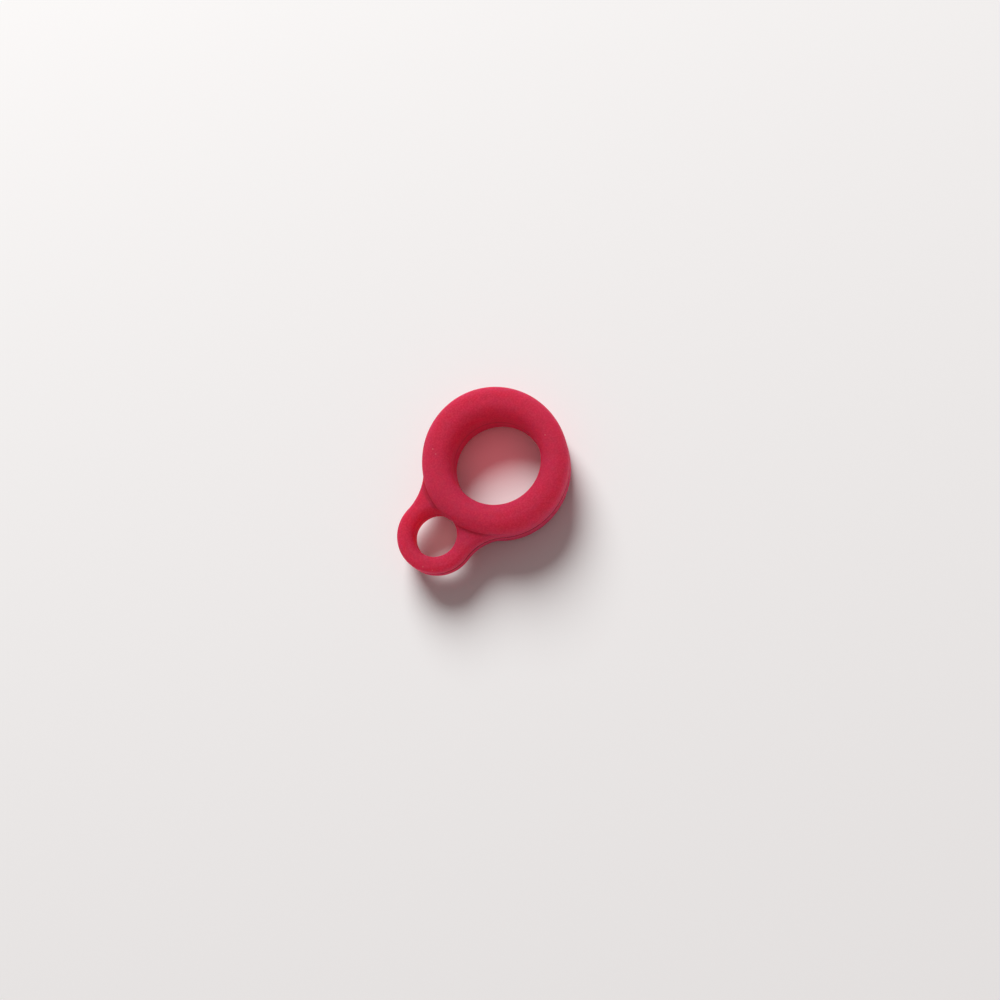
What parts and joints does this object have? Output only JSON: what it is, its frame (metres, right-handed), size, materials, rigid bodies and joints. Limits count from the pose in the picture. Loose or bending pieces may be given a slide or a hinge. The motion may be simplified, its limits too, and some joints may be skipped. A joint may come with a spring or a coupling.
{
  "type": "lanyard ring",
  "caption": "Elastic silicone ring with a round bore right through it and a smaller, thinner eyelet on its side for a cord.",
  "frame": {"origin": "middle of the whole outline, in the plane of the bottom face that the ring lies on; the bore's axis is 4.18 mm from it towards -X", "axes": "+Z along the bore axis, up from the surface it lies on; +X from the ring towards the eyelet; +Y completes a right-handed frame"},
  "size_m": [0.0304, 0.022, 0.0075],
  "materials": {
    "crimson_silicone": "matte moulded silicone rubber"
  },
  "bodies": {
    "root": {"silicone_ring": "crimson_silicone"}
  },
  "joints": []
}
